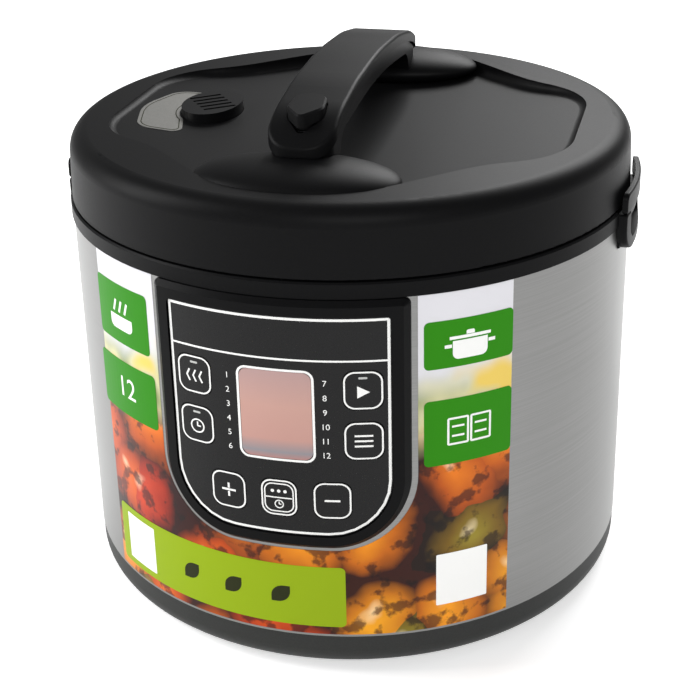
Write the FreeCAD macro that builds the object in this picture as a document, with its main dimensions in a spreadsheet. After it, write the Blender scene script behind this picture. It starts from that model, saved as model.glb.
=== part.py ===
import FreeCAD, Part
import math
import os
import Sketcher
from types import SimpleNamespace
from FreeCAD import Placement, Rotation, Vector

# Countertop electric multicooker, millimetres.  The cooker stands on z = 0 with its axis on Z,
# the control panel faces -Y and the lid hinge is at +Y.

SIZES = {
    "shell_radius": 141.0,
    "shell_wall": 0.6,
    "base_top": 21.0,
    "base_wall": 2.5,
    "base_round": 10.0,
    "foot_height": 2.5,
    "foot_radius": 8.0,
    "foot_circle": 106.0,
    "shell_top": 196.0,
    "collar_height": 7.6,
    "collar_overhang": 1.0,
    "running_gap": 0.3,
    "pin_gap": 0.06,
    "pot_radius": 114.0,
    "pot_wall": 1.5,
    "pot_round": 26.0,
    "rim_width": 7.5,
    "liner_space": 9.0,
    "liner_floor": 36.0,
    "liner_wall": 0.6,
    "plate_radius": 98.0,
    "plate_top": 50.0,
    "element_circle": 75.0,
    "element_radius": 2.8,
    "sensor_radius": 15.0,
    "grip_half_width": 31.0,
    "grip_height": 21.0,
    "grip_reach": 4.8,
    "ear_height": 10.0,
    "panel_half_width": 58.5,
    "panel_height": 124.5,
    "panel_reach": 4.0,
    "panel_border": 7.0,
    "overlay_film": 0.6,
    "key_width": 17.0,
    "key_height": 19.0,
    "key_column": 39.0,
    "key_row_step": 24.6,
    "key_row_one": 42.3,
    "key_row_two": 67.5,
    "key_row_three": 98.3,
    "display_drop": 56.0,
    "display_width": 33.0,
    "display_height": 43.5,
    "key_travel": 0.6,
    "lid_gap": 0.6,
    "lid_height": 32.6,
    "lid_round": 9.6,
    "lid_wall": 2.6,
    "lid_crown": 3.0,
    "dish_depth": 6.7,
    "dish_bend": 1430.0,
    "dome_half_width": 48.0,
    "dome_half_depth": 26.0,
    "dome_rise": 9.0,
    "dome_offset": 98.0,
    "handle_half_width": 16.0,
    "handle_half_length": 98.0,
    "handle_rise": 64.6,
    "handle_cover": 6.0,
    "handle_thickness": 12.5,
    "button_half_width": 8.8,
    "button_travel": 3.5,
    "vent_x": 74.0,
    "vent_half_width": 15.0,
    "vent_half_length": 22.0,
    "vent_barrel": 9.0,
    "hinge_reach": 6.5,
    "hinge_knuckle": 5.4,
    "hinge_pin": 2.0,
    "inlet_half_width": 17.0,
    "inlet_height": 28.0,
    "label_half_angle": 44.5,
}

doc = FreeCAD.newDocument("multicooker")
sheet = doc.addObject("Spreadsheet::Sheet", "Sizes")
for row, (alias, number) in enumerate(SIZES.items(), start=1):
    sheet.set("A%d" % row, alias)
    sheet.set("B%d" % row, str(number))
    sheet.setAlias("B%d" % row, alias)
doc.recompute()


class Dim:
    """A size: its number, and the sheet expression that gives it."""

    def __init__(self, number, text):
        self.number = number
        self.text = text

    def __add__(self, other):
        return joined(self, "+", other, self.number + dim(other).number)

    def __radd__(self, other):
        return joined(other, "+", self, dim(other).number + self.number)

    def __sub__(self, other):
        return joined(self, "-", other, self.number - dim(other).number)

    def __rsub__(self, other):
        return joined(other, "-", self, dim(other).number - self.number)

    def __mul__(self, other):
        return joined(self, "*", other, self.number * dim(other).number)

    def __rmul__(self, other):
        return joined(other, "*", self, dim(other).number * self.number)

    def __truediv__(self, other):
        return joined(self, "/", other, self.number / dim(other).number)

    def __neg__(self):
        return joined(0, "-", self, -self.number)


def dim(value):
    return value if isinstance(value, Dim) else Dim(float(value), "(%.6f)" % value)


def joined(left, sign, right, number):
    return Dim(number, "(%s %s %s)" % (dim(left).text, sign, dim(right).text))


s = SimpleNamespace(**{alias: Dim(sheet.get(alias), "Sizes." + alias) for alias in SIZES})


def bind(thing, prop, value):
    thing.setExpression(prop, dim(value).text)


TURNS = {
    "Z": Rotation(),
    "Y": Rotation(Vector(1, 0, 0), -90),
    "X": Rotation(Vector(0, 1, 0), 90),
}


def place(thing, x, y, z, turn=None):
    thing.Placement = Placement(Vector(), turn or Rotation())
    bind(thing, "Placement.Base.x", x)
    bind(thing, "Placement.Base.y", y)
    bind(thing, "Placement.Base.z", z)
    return thing


def cylinder(radius, height, x=0, y=0, z=0, axis="Z"):
    rod = doc.addObject("Part::Cylinder", "rod")
    bind(rod, "Radius", radius)
    bind(rod, "Height", height)
    return place(rod, x, y, z, TURNS[axis])


def box(x, y, z):
    """A block between the low and high ends given for each axis."""
    block = doc.addObject("Part::Box", "block")
    for prop, (low, high) in zip(("Length", "Width", "Height"), (x, y, z)):
        bind(block, prop, dim(high) - low)
    return place(block, x[0], y[0], z[0])


def ellipsoid(half_x, half_y, half_z, x=0, y=0, z=0):
    egg = doc.addObject("Part::Ellipsoid", "egg")
    bind(egg, "Radius1", half_z)
    bind(egg, "Radius2", half_x)
    bind(egg, "Radius3", half_y)
    return place(egg, x, y, z)


def oval_prism(half_x, half_y, low, high, x, y):
    """An upright prism with an elliptical outline, longer along Y."""
    oval = doc.addObject("Part::Ellipse", "oval")
    bind(oval, "MajorRadius", half_y)
    bind(oval, "MinorRadius", half_x)
    place(oval, x, y, low, Rotation(Vector(0, 0, 1), 90))
    prism = doc.addObject("Part::Extrusion", "prism")
    prism.Base = oval
    prism.DirMode = "Custom"
    prism.Dir = Vector(0, 0, 1)
    prism.Solid = True
    bind(prism, "LengthFwd", dim(high) - low)
    return prism


def ring_bead(circle, thickness, z):
    bead = doc.addObject("Part::Torus", "bead")
    bind(bead, "Radius1", circle)
    bind(bead, "Radius2", thickness)
    return place(bead, 0, 0, z)


def fuse(*shapes):
    union = doc.addObject("Part::MultiFuse", "union")
    union.Shapes = list(shapes)
    return union


def group(shapes):
    bundle = doc.addObject("Part::Compound", "bundle")
    bundle.Links = list(shapes)
    return bundle


def common(*shapes):
    shared = doc.addObject("Part::MultiCommon", "shared")
    shared.Shapes = list(shapes)
    return shared


def cut(base, *tools):
    rest = doc.addObject("Part::Cut", "rest")
    rest.Base = base
    rest.Tool = fuse(*tools) if len(tools) > 1 else tools[0]
    return rest


def eased(kind, base, size, chosen):
    """Round or bevel the edges of a shape that the test picks."""
    doc.recompute()
    easing = doc.addObject("Part::" + kind, kind.lower())
    easing.Base = base
    reach = dim(size).number
    numbers = [number for number, edge in enumerate(base.Shape.Edges, start=1) if chosen(edge)]
    easing.Edges = [(number, reach, reach) for number in numbers]
    return easing


def ends_at_radius(edge, radius):
    return all(abs(math.hypot(spot.X, spot.Y) - radius.number) < 0.01 for spot in edge.Vertexes)


def origin_plane(body, role):
    return [item for item in body.Origin.OriginFeatures if item.Role == role][0]


def sketch_in(body, role, start=0):
    sketch = body.newObject("Sketcher::SketchObject", "outline")
    sketch.AttachmentSupport = [(origin_plane(body, role), "")]
    sketch.MapMode = "FlatFace"
    bind(sketch, "AttachmentOffset.Base.z", start)
    return sketch


def corner_geometry(before, here, after, radius):
    """Where a rounded corner leaves its two lines, and the centre of its arc."""
    back = (before - here).normalize()
    ahead = (after - here).normalize()
    half = back.getAngle(ahead) / 2
    reach = radius / math.tan(half)
    centre = here + (back + ahead).normalize() * (radius / math.sin(half))
    return here + back * reach, here + ahead * reach, centre


def outline(sketch, corners):
    """A closed outline through corners (u, v) or (u, v, rounding), each tied to its sizes."""
    corners = [tuple(dim(value) for value in corner) for corner in corners]
    spots = [Vector(corner[0].number, corner[1].number, 0) for corner in corners]
    count = len(corners)
    entries, exits, centres = [], [], []
    for index, corner in enumerate(corners):
        here = spots[index]
        entry, leave, centre = here, here, None
        if len(corner) > 2:
            after = spots[(index + 1) % count]
            entry, leave, centre = corner_geometry(spots[index - 1], here, after, corner[2].number)
        entries.append(entry)
        exits.append(leave)
        centres.append(centre)
    lines = []
    for index in range(count):
        edge = Part.LineSegment(exits[index], entries[(index + 1) % count])
        lines.append(sketch.addGeometry(edge, False))
    rules = []
    sized = []

    def pin(geometry, spot, corner):
        for kind, axis, value in (("DistanceX", -2, corner[0]), ("DistanceY", -1, corner[1])):
            if value.text == "(0.000000)":
                rules.append(Sketcher.Constraint("PointOnObject", geometry, spot, axis))
                continue
            sized.append((len(rules), value))
            rules.append(Sketcher.Constraint(kind, -1, 1, geometry, spot, value.number))

    for index, corner in enumerate(corners):
        before, after = lines[index - 1], lines[index]
        if centres[index] is None:
            rules.append(Sketcher.Constraint("Coincident", before, 2, after, 1))
            pin(after, 1, corner)
            continue
        centre = centres[index]
        start = entries[index] - centre
        end = exits[index] - centre
        leftward = start.cross(end).z > 0
        first, last = (start, end) if leftward else (end, start)
        circle = Part.Circle(centre, Vector(0, 0, 1), corner[2].number)
        low = math.atan2(first.y, first.x)
        arc = sketch.addGeometry(Part.ArcOfCircle(circle, low, low + first.getAngle(last)), False)
        point = sketch.addGeometry(Part.Point(spots[index]), True)
        pin(point, 1, corner)
        rules.append(Sketcher.Constraint("PointOnObject", point, 1, before))
        rules.append(Sketcher.Constraint("PointOnObject", point, 1, after))
        rules.append(Sketcher.Constraint("Tangent", before, 2, arc, 1 if leftward else 2))
        rules.append(Sketcher.Constraint("Tangent", after, 1, arc, 2 if leftward else 1))
        sized.append((len(rules), corner[2]))
        rules.append(Sketcher.Constraint("Radius", arc, corner[2].number))
    sketch.addConstraint(rules)
    for place_in_list, value in sized:
        bind(sketch, "Constraints[%d]" % place_in_list, value)


def turned(*corners):
    """A body turned about Z from an outline of (radius, height) corners."""
    body = doc.addObject("PartDesign::Body", "turning")
    sketch = sketch_in(body, "XZ_Plane")
    outline(sketch, corners)
    spin = body.newObject("PartDesign::Revolution", "spin")
    spin.Profile = sketch
    spin.ReferenceAxis = (sketch, ["V_Axis"])
    spin.Angle = 360
    return body


def tube(inner, outer, low, high):
    return turned((inner, low), (outer, low), (outer, high), (inner, high))


def padded(role, start, length, *corners):
    """A body padded from an outline; the start is measured along the plane's own normal."""
    body = doc.addObject("PartDesign::Body", "padding")
    sketch = sketch_in(body, role, start)
    outline(sketch, corners)
    pad = body.newObject("PartDesign::Pad", "pad")
    pad.Profile = sketch
    bind(pad, "Length", length)
    return body


def rounded_plate(role, start, length, u, v, rounding):
    """A pad with a rounded rectangle between the low and high ends of u and v."""
    corners = ((u[0], v[0]), (u[1], v[0]), (u[1], v[1]), (u[0], v[1]))
    return padded(role, start, length, *[(a, b, rounding) for a, b in corners])


def coil(radius, wire, low, high, turns):
    """A wound wire about Z between two heights."""
    body = doc.addObject("PartDesign::Body", "winding")
    sketch = sketch_in(body, "XZ_Plane")
    start = dim(low) + wire
    middle = Vector(dim(radius).number, start.number, 0)
    loop = sketch.addGeometry(Part.Circle(middle, Vector(0, 0, 1), dim(wire).number))
    sketch.addConstraint([
        Sketcher.Constraint("DistanceX", -1, 1, loop, 3, dim(radius).number),
        Sketcher.Constraint("DistanceY", -1, 1, loop, 3, start.number),
        Sketcher.Constraint("Radius", loop, dim(wire).number),
    ])
    bind(sketch, "Constraints[0]", radius)
    bind(sketch, "Constraints[1]", start)
    bind(sketch, "Constraints[2]", wire)
    helix = body.newObject("PartDesign::AdditiveHelix", "helix")
    helix.Profile = sketch
    helix.ReferenceAxis = (sketch, ["V_Axis"])
    helix.Mode = "height-turns-angle"
    bind(helix, "Height", dim(high) - low - 2 * dim(wire))
    helix.Turns = turns
    return body


def around(circle, angles):
    """Points on a circle about Z, tied to its size."""
    spots = []
    for angle in angles:
        turn = math.radians(angle)
        spots.append((circle * math.cos(turn), circle * math.sin(turn)))
    return spots


pieces = []


def piece(label, thing):
    thing.Label = label
    pieces.append(thing)
    return thing


gap = s.running_gap
shell_inside = s.shell_radius - s.shell_wall
base_floor = s.foot_height + s.base_wall
liner_radius = s.pot_radius + s.liner_space
liner_top = s.liner_floor + s.liner_wall
collar_top = s.shell_top + s.collar_height
collar_radius = s.shell_radius + s.collar_overhang
ledge = s.shell_top + 5
notch_floor = s.shell_top + 2.2
neck_low = s.shell_top + 2.5
neck_high = collar_top - gap
rim_radius = s.pot_radius + s.rim_width
rim_top = ledge + s.pot_wall
lid_bottom = collar_top + s.lid_gap
lid_ceiling = lid_bottom + s.lid_height - s.dish_depth - s.lid_wall - 0.1
dish_floor = lid_bottom + s.lid_height - s.dish_depth
ear_low = s.shell_top + 6.5
grip_outer = s.shell_radius + s.grip_reach

# Base pan with cooling slots, pillars for the liner and posts for the power board
pan_edge = shell_inside - gap
pan = turned(
    (0, s.foot_height),
    (s.shell_radius - gap, s.foot_height, s.base_round),
    (s.shell_radius - gap, s.base_top - gap),
    (pan_edge, s.base_top - gap),
    (pan_edge, s.base_top + 10),
    (pan_edge - s.base_wall, s.base_top + 10),
    (pan_edge - s.base_wall, base_floor, s.base_round - s.base_wall),
    (0, base_floor),
)
slot_sketch = sketch_in(pan, "XY_Plane")
outline(slot_sketch, [(45, -2, 1.9), (80, -2, 1.9), (80, 2, 1.9), (45, 2, 1.9)])
slot = pan.newObject("PartDesign::Pocket", "slot")
slot.Profile = slot_sketch
slot.Reversed = True
bind(slot, "Length", base_floor + 1)
doc.recompute()
slots = pan.newObject("PartDesign::PolarPattern", "slots")
slots.Originals = [slot]
slots.Axis = (slot_sketch, ["N_Axis"])
slots.Angle = 360
slots.Occurrences = 16
pan.Tip = slots

pillar_spots = around(liner_radius - 13, (30, 150, 270))
foot_spots = around(s.foot_circle, (45, 135, 225, 315)) + [(dim(0), dim(0))]
board_spots = [(x, y) for x in (-40, 40) for y in (42, 84)]
pillars = [cylinder(5, s.liner_floor - base_floor + 1, x, y, base_floor - 1) for x, y in pillar_spots]
posts = [cylinder(3, 6, x, y, base_floor - 1) for x, y in board_spots]
bores = [cylinder(1.5 + s.pin_gap, 13, x, y, s.liner_floor - 13) for x, y in pillar_spots]
stem_holes = [cylinder(3 + s.pin_gap, 20, x, y, -5) for x, y in foot_spots]
board_bores = [cylinder(1.2, 4.5, x, y, base_floor + 1) for x, y in board_spots]
piece("base_pan", cut(fuse(pan, *pillars, *posts), *bores, *stem_holes, *board_bores))

feet = []
for x, y in foot_spots:
    pad = cylinder(s.foot_radius, s.foot_height, x, y, 0)
    stem = cylinder(3, s.base_wall + 0.8, x, y, s.foot_height - 0.2)
    feet.append(fuse(pad, stem))
piece("rubber_feet", group(feet))

# Power board in the base
board_low = base_floor + 5
board = box((-46, 46), (36, 90), (board_low, board_low + 1.6))
board_holes = [cylinder(1.3, 6, x, y, board_low - 2) for x, y in board_spots]
piece("power_board", cut(board, *board_holes))
board_top = board_low + 1.6
relay = box((-30, -11), (50, 66), (board_top, board_top + 15))
transformer = box((-2, 22), (44, 70), (board_top, board_top + 17))
capacitor = cylinder(5, 14, 33, 60, board_top)
terminals = box((-34, 28), (74, 82), (board_top, board_top + 9))
piece("board_components", group([relay, transformer, capacitor, terminals]))
screws = []
for x, y in board_spots:
    screws.append(fuse(cylinder(2.4, 1.6, x, y, board_top), cylinder(1.1, 6, x, y, board_top - 5.5)))
piece("board_screws", group(screws))

# Steel shell and collar
window_low = s.shell_top - s.panel_height + 8
panel_window = box((-52, 52), (-s.shell_radius - 5, -100), (window_low, s.shell_top - 6))
grip_low = ear_low - s.grip_height
side_windows = []
for low, high in ((-s.shell_radius - 5, -100), (100, s.shell_radius + 5)):
    reach = s.grip_half_width - 2.5
    side_windows.append(box((low, high), (-reach, reach), (grip_low + 2, s.shell_top + 20)))
inlet_low = s.base_top + 13
inlet_high = inlet_low + s.inlet_height
inlet_edge = s.inlet_half_width + gap
inlet_window = box((-inlet_edge, inlet_edge), (100, s.shell_radius + 5), (inlet_low - gap, inlet_high + gap))
shell_tube = tube(shell_inside, s.shell_radius, s.base_top, s.shell_top + 2)
piece("outer_shell", cut(shell_tube, panel_window, *side_windows, inlet_window))

collar_blank = turned(
    (collar_radius, s.shell_top),
    (collar_radius, collar_top - 0.8),
    (collar_radius - 0.8, collar_top),
    (rim_radius + 2.5, collar_top),
    (rim_radius + 2.5, ledge),
    (s.pot_radius + 4.2, ledge),
    (s.pot_radius + 4.2, s.shell_top + 0.4),
    (shell_inside - 3.1, s.shell_top + 0.4),
    (shell_inside - 3.1, s.shell_top - 9),
    (shell_inside - 0.4, s.shell_top - 9),
    (shell_inside - 0.4, s.shell_top + 2.3),
    (s.shell_radius + 0.1, s.shell_top + 2.3),
    (s.shell_radius + 0.1, s.shell_top),
)
neck_half = s.grip_half_width - 9.5
notch_half = neck_half + 1
notch_tools = []
for low, high in ((-200, -80), (80, 200)):
    reach = s.grip_half_width + 0.4
    grip_space = tube(liner_radius + 7.5, grip_outer + 20, grip_low - 6, collar_top + 5)
    notch_tools.append(common(grip_space, box((low, high), (-reach, reach), (0, 300))))
    notch_tools.append(box((low, high), (-notch_half, notch_half), (notch_floor, collar_top + 5)))
hook_y = -liner_radius - 9
catch_recess = box((-12.2, 12.2), (hook_y + 1, hook_y + 6.2), (collar_top - 1.8, collar_top + 5))
hook_pocket = box((-11.2, 11.2), (hook_y - 4.6, hook_y + 4.4), (collar_top - 6.2, collar_top + 5))
piece("collar", cut(collar_blank, *notch_tools, catch_recess, hook_pocket))
piece("catch_plate", box((-12, 12), (hook_y + 1, hook_y + 6), (collar_top - 1.7, collar_top - 0.3)))

# Liner, heater and temperature sensor under the pot
liner_blank = turned(
    (s.sensor_radius + 3, s.liner_floor),
    (liner_radius, s.liner_floor, 8),
    (liner_radius, s.shell_top - 0.3),
    (liner_radius + 11, s.shell_top - 0.3),
    (liner_radius + 11, s.shell_top + 0.3),
    (liner_radius - s.liner_wall, s.shell_top + 0.3),
    (liner_radius - s.liner_wall, liner_top, 8 - s.liner_wall),
    (s.sensor_radius + 3, liner_top),
)
lead_spots = around(s.element_circle, (80, 100))
lead_holes = [cylinder(4.2, 6, x, y, s.liner_floor - 3) for x, y in lead_spots]
screw_holes = [cylinder(1.8, 6, x, y, s.liner_floor - 3) for x, y in pillar_spots]
flange_cuts = []
for low, high in ((-200, -80), (80, 200)):
    flange_cuts.append(common(
        tube(liner_radius + 6.5, liner_radius + 40, grip_low - 8, s.shell_top + 10),
        box((low, high), (-s.grip_half_width - 2, s.grip_half_width + 2), (0, 300)),
    ))
piece("inner_liner", cut(liner_blank, *lead_holes, *screw_holes, *flange_cuts))
screws = []
for x, y in pillar_spots:
    screws.append(fuse(cylinder(3.2, 1.8, x, y, liner_top), cylinder(1.5, 13, x, y, liner_top - 12.5)))
piece("liner_screws", group(screws))

element_z = s.plate_top - 10
plate_blank = turned(
    (s.sensor_radius + 5, s.plate_top - 6),
    (s.sensor_radius + 5, s.plate_top, 1),
    (s.plate_radius, s.plate_top, 2),
    (s.plate_radius, s.plate_top - 5),
    (s.element_circle + 7, s.plate_top - 5),
    (s.element_circle + 7, element_z),
    (s.element_circle - 7, element_z),
    (s.element_circle - 7, s.plate_top - 6),
)
groove = ring_bead(s.element_circle, s.element_radius + 0.1, element_z)
piece("heating_plate", cut(plate_blank, groove))
leads = [cylinder(2.2, 14, x, y, element_z - 14) for x, y in lead_spots]
piece("heating_element", fuse(ring_bead(s.element_circle, s.element_radius, element_z), *leads))
post_spots = around(s.element_circle - 25, (30, 150, 270))
posts = [cylinder(4, s.plate_top - 6 - liner_top, x, y, liner_top) for x, y in post_spots]
piece("heater_posts", group(posts))

sensor_floor = s.liner_floor - 12
sleeve_in = s.sensor_radius + gap
sleeve_out = s.sensor_radius + 2
piece("sensor_sleeve", turned(
    (0, sensor_floor),
    (sleeve_out, sensor_floor, 1),
    (sleeve_out, liner_top),
    (sleeve_out + 10, liner_top),
    (sleeve_out + 10, liner_top + 1.4),
    (sleeve_out, liner_top + 1.4),
    (sleeve_out, s.plate_top - 4),
    (sleeve_in, s.plate_top - 4),
    (sleeve_in, sensor_floor + 1.5),
    (0, sensor_floor + 1.5),
))
sensor_top = s.plate_top - 0.2
piece("sensor_cup", turned(
    (0, sensor_top - 2.6),
    (s.sensor_radius - 1.3, sensor_top - 2.6),
    (s.sensor_radius - 1.3, sensor_top - 15),
    (s.sensor_radius - 0.1, sensor_top - 15),
    (s.sensor_radius - 0.1, sensor_top, 1),
    (0, sensor_top),
))
piece("sensor_spring", coil(9, 0.8, sensor_floor + 1.6, sensor_top - 2.7, 6))
fuse_y = -s.element_circle + 15
fuse_body = cylinder(2, 14, -7, fuse_y, s.liner_floor - 2.4, axis="X")
fuse_clip = box((-3, 3), (fuse_y - 5, fuse_y + 5), (s.liner_floor - 5.4, s.liner_floor - 0.1))
piece("thermal_fuse", fuse(fuse_body, fuse_clip))

# Cooking pot with two ear handles
pot_low = s.plate_top + 0.1
pot_inside = s.pot_radius - s.pot_wall
tongue_half = neck_half - 1.5
rivet_spots = []
for side in (-1, 1):
    for end in (-1, 1):
        rivet_spots.append((side * (rim_radius - 3.3), end * (tongue_half - 6)))
pot_blank = turned(
    (0, pot_low),
    (s.pot_radius, pot_low, s.pot_round),
    (s.pot_radius, ledge),
    (rim_radius, ledge),
    (rim_radius, rim_top, 0.6),
    (pot_inside, rim_top, 1),
    (pot_inside, pot_low + s.pot_wall, s.pot_round - s.pot_wall),
    (0, pot_low + s.pot_wall),
)
rivet_holes = [cylinder(1.5 + s.pin_gap, 20, x, y, neck_low - 5) for x, y in rivet_spots]
ear_holes = [cylinder(1.5 + gap, 20, x, y, neck_low - 5) for x, y in rivet_spots]
piece("cooking_pot", cut(pot_blank, *rivet_holes))
rivets = []
for x, y in rivet_spots:
    rivets.append(fuse(cylinder(1.9, 0.7, x, y, rim_top), cylinder(1.5, rim_top - neck_low, x, y, neck_low)))
piece("pot_rivets", group(rivets))

ear_high = ear_low + s.ear_height
for name, side in (("left", -1), ("right", 1)):
    span = (-200, -80) if side < 0 else (80, 200)
    start = -200 if side < 0 else 80
    neck = common(
        tube(rim_radius + 0.1, grip_outer - 1.2, neck_low, neck_high),
        box(span, (-neck_half, neck_half), (0, 300)),
    )
    tongue = common(
        tube(s.pot_radius + 0.3, rim_radius + 1, neck_low, ledge - 0.1),
        box(span, (-tongue_half, tongue_half), (0, 300)),
    )
    reach = s.grip_half_width
    bar_face = padded(
        "YZ_Plane", start, 120,
        (-reach, ear_low, 2), (reach, ear_low, 2), (reach, ear_high, 4), (-reach, ear_high, 4),
    )
    bar = common(tube(s.shell_radius + 2.2, grip_outer, ear_low - 1, ear_high + 1), bar_face)
    bar = eased("Fillet", bar, 1, lambda edge: ends_at_radius(edge, grip_outer))
    piece("pot_ear_" + name, cut(fuse(neck, tongue, bar), *ear_holes))

    frame_face = padded(
        "YZ_Plane", start, 120,
        (-reach, grip_low, 14), (reach, grip_low, 14),
        (reach, ear_low - gap, 2), (-reach, ear_low - gap, 2),
    )
    frame = common(tube(s.shell_radius + 0.15, grip_outer, grip_low - 1, ear_high), frame_face)
    frame = eased("Fillet", frame, 1, lambda edge: ends_at_radius(edge, grip_outer))
    cup_reach = reach - 3
    cup_back = liner_radius + 8.5
    cup = common(
        tube(cup_back, s.shell_radius + 1, grip_low + 2.6, notch_floor),
        box(span, (-cup_reach, cup_reach), (0, 300)),
    )
    hollow_face = padded(
        "YZ_Plane", start, 120,
        (-reach + 7, grip_low + 5.2, 9), (reach - 7, grip_low + 5.2, 9),
        (reach - 7, ear_high + 5), (-reach + 7, ear_high + 5),
    )
    hollow = common(tube(cup_back + 1.5, grip_outer + 10, grip_low, ear_high + 5), hollow_face)
    piece("side_pocket_" + name, cut(fuse(frame, cup), hollow))

# Control panel on the front
panel_top = s.shell_top - gap
panel_low = panel_top - s.panel_height
panel_back = s.shell_radius + 0.2
panel_face = s.shell_radius + s.panel_reach
overlay_back = panel_face - 1.5
overlay_face = overlay_back + s.overlay_film


def panel_outline(inset, top_inset):
    """A shield outline padded towards -Y: straight sides, large rounded lower corners."""
    half = s.panel_half_width - inset
    low = panel_low + inset
    high = panel_top - top_inset
    return padded(
        "XZ_Plane", 90, 80,
        (-half, low, 36 - dim(inset)), (half, low, 36 - dim(inset)), (half, high, 3), (-half, high, 3),
    )


key_rows = [panel_top - s.key_row_one, panel_top - s.key_row_two, panel_top - s.key_row_three]
KEYS = {
    "key_keep_warm": (-1 * s.key_column, key_rows[0]),
    "key_delay": (-1 * s.key_column, key_rows[1]),
    "key_start": (s.key_column, key_rows[0]),
    "key_recipe": (s.key_column, key_rows[1]),
    "key_plus": (-1 * s.key_row_step, key_rows[2]),
    "key_time": (dim(0), key_rows[2]),
    "key_minus": (s.key_row_step, key_rows[2]),
}


def key_block(x, z, spare, back, face):
    """A rounded key outline carried through the panel, between two radii."""
    half_x = s.key_width / 2 + spare
    half_z = s.key_height / 2 + spare
    prism = rounded_plate("XZ_Plane", 90, 80, (x - half_x, x + half_x), (z - half_z, z + half_z), 5)
    return common(prism, tube(back, face, z - half_z - 1, z + half_z + 1))


display_z = panel_top - s.display_drop
display_half = s.display_width / 2
display_reach = s.display_height / 2


def display_block(spare, back, face):
    half_x = display_half + spare
    half_z = display_reach + spare
    u = (-half_x, half_x)
    v = (display_z - half_z, display_z + half_z)
    return common(rounded_plate("XZ_Plane", 90, 80, u, v, 4), tube(back, face, v[0] - 1, v[1] + 1))


key_holes = [key_block(x, z, gap, panel_back - 3, panel_face + 5) for x, z in KEYS.values()]
display_hole = display_block(gap, panel_back - 3, panel_face + 5)
panel_slab = common(panel_outline(0, 0), tube(panel_back, panel_face, panel_low - 1, panel_top + 1))
panel_blank = eased("Chamfer", panel_slab, 2.4, lambda edge: ends_at_radius(edge, panel_face))
panel_pocket = common(
    panel_outline(s.panel_border, s.panel_border),
    tube(overlay_back, panel_face + 5, panel_low - 1, panel_top + 1),
)
board_back = liner_radius + 1.9
board_face = board_back + 1.6
stud_spots = [(x, z) for x in (-40, 40) for z in (panel_low + 19, panel_top - 13)]
studs = [cylinder(3, 10.5, x, -board_face - 10.5, z, axis="Y") for x, z in stud_spots]
stud_bores = [cylinder(1.1 + s.pin_gap, 8, x, -board_face - 7, z, axis="Y") for x, z in stud_spots]
bezel = fuse(cut(panel_blank, panel_pocket), *studs)
piece("panel_bezel", cut(bezel, *key_holes, display_hole, *stud_bores))
overlay = common(
    panel_outline(s.panel_border + gap, s.panel_border + gap),
    tube(overlay_back + gap, overlay_face, panel_low - 1, panel_top + 1),
)
piece("panel_overlay", cut(overlay, *key_holes, display_hole))
piece("display_window", display_block(0, panel_back, overlay_face))

switch_face = board_face + 4.4
for name, (x, z) in KEYS.items():
    cap = key_block(x, z, 0, panel_back - 0.4, overlay_face + 0.15)
    flange = key_block(x, z, 1.2, panel_back - 2, panel_back - gap)
    stem_end = switch_face + s.key_travel + 0.1
    stem = cylinder(2.4, panel_back - stem_end, x, -panel_back, z, axis="Y")
    stem_room = cylinder(panel_back - 1, 10, 0, 0, z - 5)
    piece(name, fuse(cap, flange, common(stem, stem_room)))

board = box((-44, 44), (-board_face, -board_back), (panel_low + 12, panel_top - 7))
board_bores = [cylinder(1.3, 6, x, -board_face - 2, z, axis="Y") for x, z in stud_spots]
piece("control_board", cut(board, *board_bores))
switches = []
for x, z in KEYS.values():
    case = box((x - 3, x + 3), (-board_face - 3.4, -board_face), (z - 3, z + 3))
    switches.append(fuse(case, cylinder(1.7, 1.2, x, -switch_face, z, axis="Y")))
piece("key_switches", group(switches))
module_face = s.shell_radius - 3.5
piece("display_module", box(
    (-display_half - 1, display_half + 1),
    (-module_face, -board_face),
    (display_z - display_reach - 1, display_z + display_reach + 1),
))
screws = []
for x, z in stud_spots:
    head = cylinder(2.4, 1.5, x, -board_back, z, axis="Y")
    screws.append(fuse(head, cylinder(1.1, 7, x, -board_back - 6.5, z, axis="Y")))
piece("panel_screws", group(screws))

# Printed film round the front of the shell
film_in = s.shell_radius + 0.05
film = tube(film_in, film_in + 0.12, s.base_top + 1.2, s.shell_top - 0.5)
wedge = doc.addObject("Part::Cylinder", "wedge")
bind(wedge, "Radius", s.shell_radius + 10)
bind(wedge, "Height", s.shell_top)
bind(wedge, "Angle", s.label_half_angle * 2)
wedge.Placement = Placement(Vector(), Rotation())
bind(wedge, "Placement.Rotation.Angle", -90 - s.label_half_angle)
piece("front_film", cut(common(film, wedge), panel_outline(-0.4, -5)))

# Mains inlet at the back
inlet_back = liner_radius + 1.5
inlet_face = s.shell_radius + 3.5
inlet_mid = inlet_low + s.inlet_height / 2
inlet_wide = (-s.inlet_half_width, s.inlet_half_width)
inlet_block = box(inlet_wide, (inlet_back, inlet_face), (inlet_low, inlet_high))
mouth = rounded_plate(
    "XZ_Plane", -inlet_face - 5, inlet_face - inlet_back + 2.5,
    (-12, 12), (inlet_mid - 8, inlet_mid + 8), 3,
)
pin_spots = ((-7, -2), (7, -2), (0, 3))
pin_slots = []
for x, z in pin_spots:
    slot_high = (inlet_mid + z - 2.05, inlet_mid + z + 2.05)
    pin_slots.append(box((x - 1.05, x + 1.05), (inlet_back - 1, inlet_back + 5), slot_high))
piece("mains_inlet", cut(inlet_block, mouth, *pin_slots))
pins = [box((x - 1, x + 1), (inlet_back + 0.3, inlet_face - 6), (inlet_mid + z - 2, inlet_mid + z + 2))
        for x, z in pin_spots]
piece("inlet_pins", group(pins))

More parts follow.
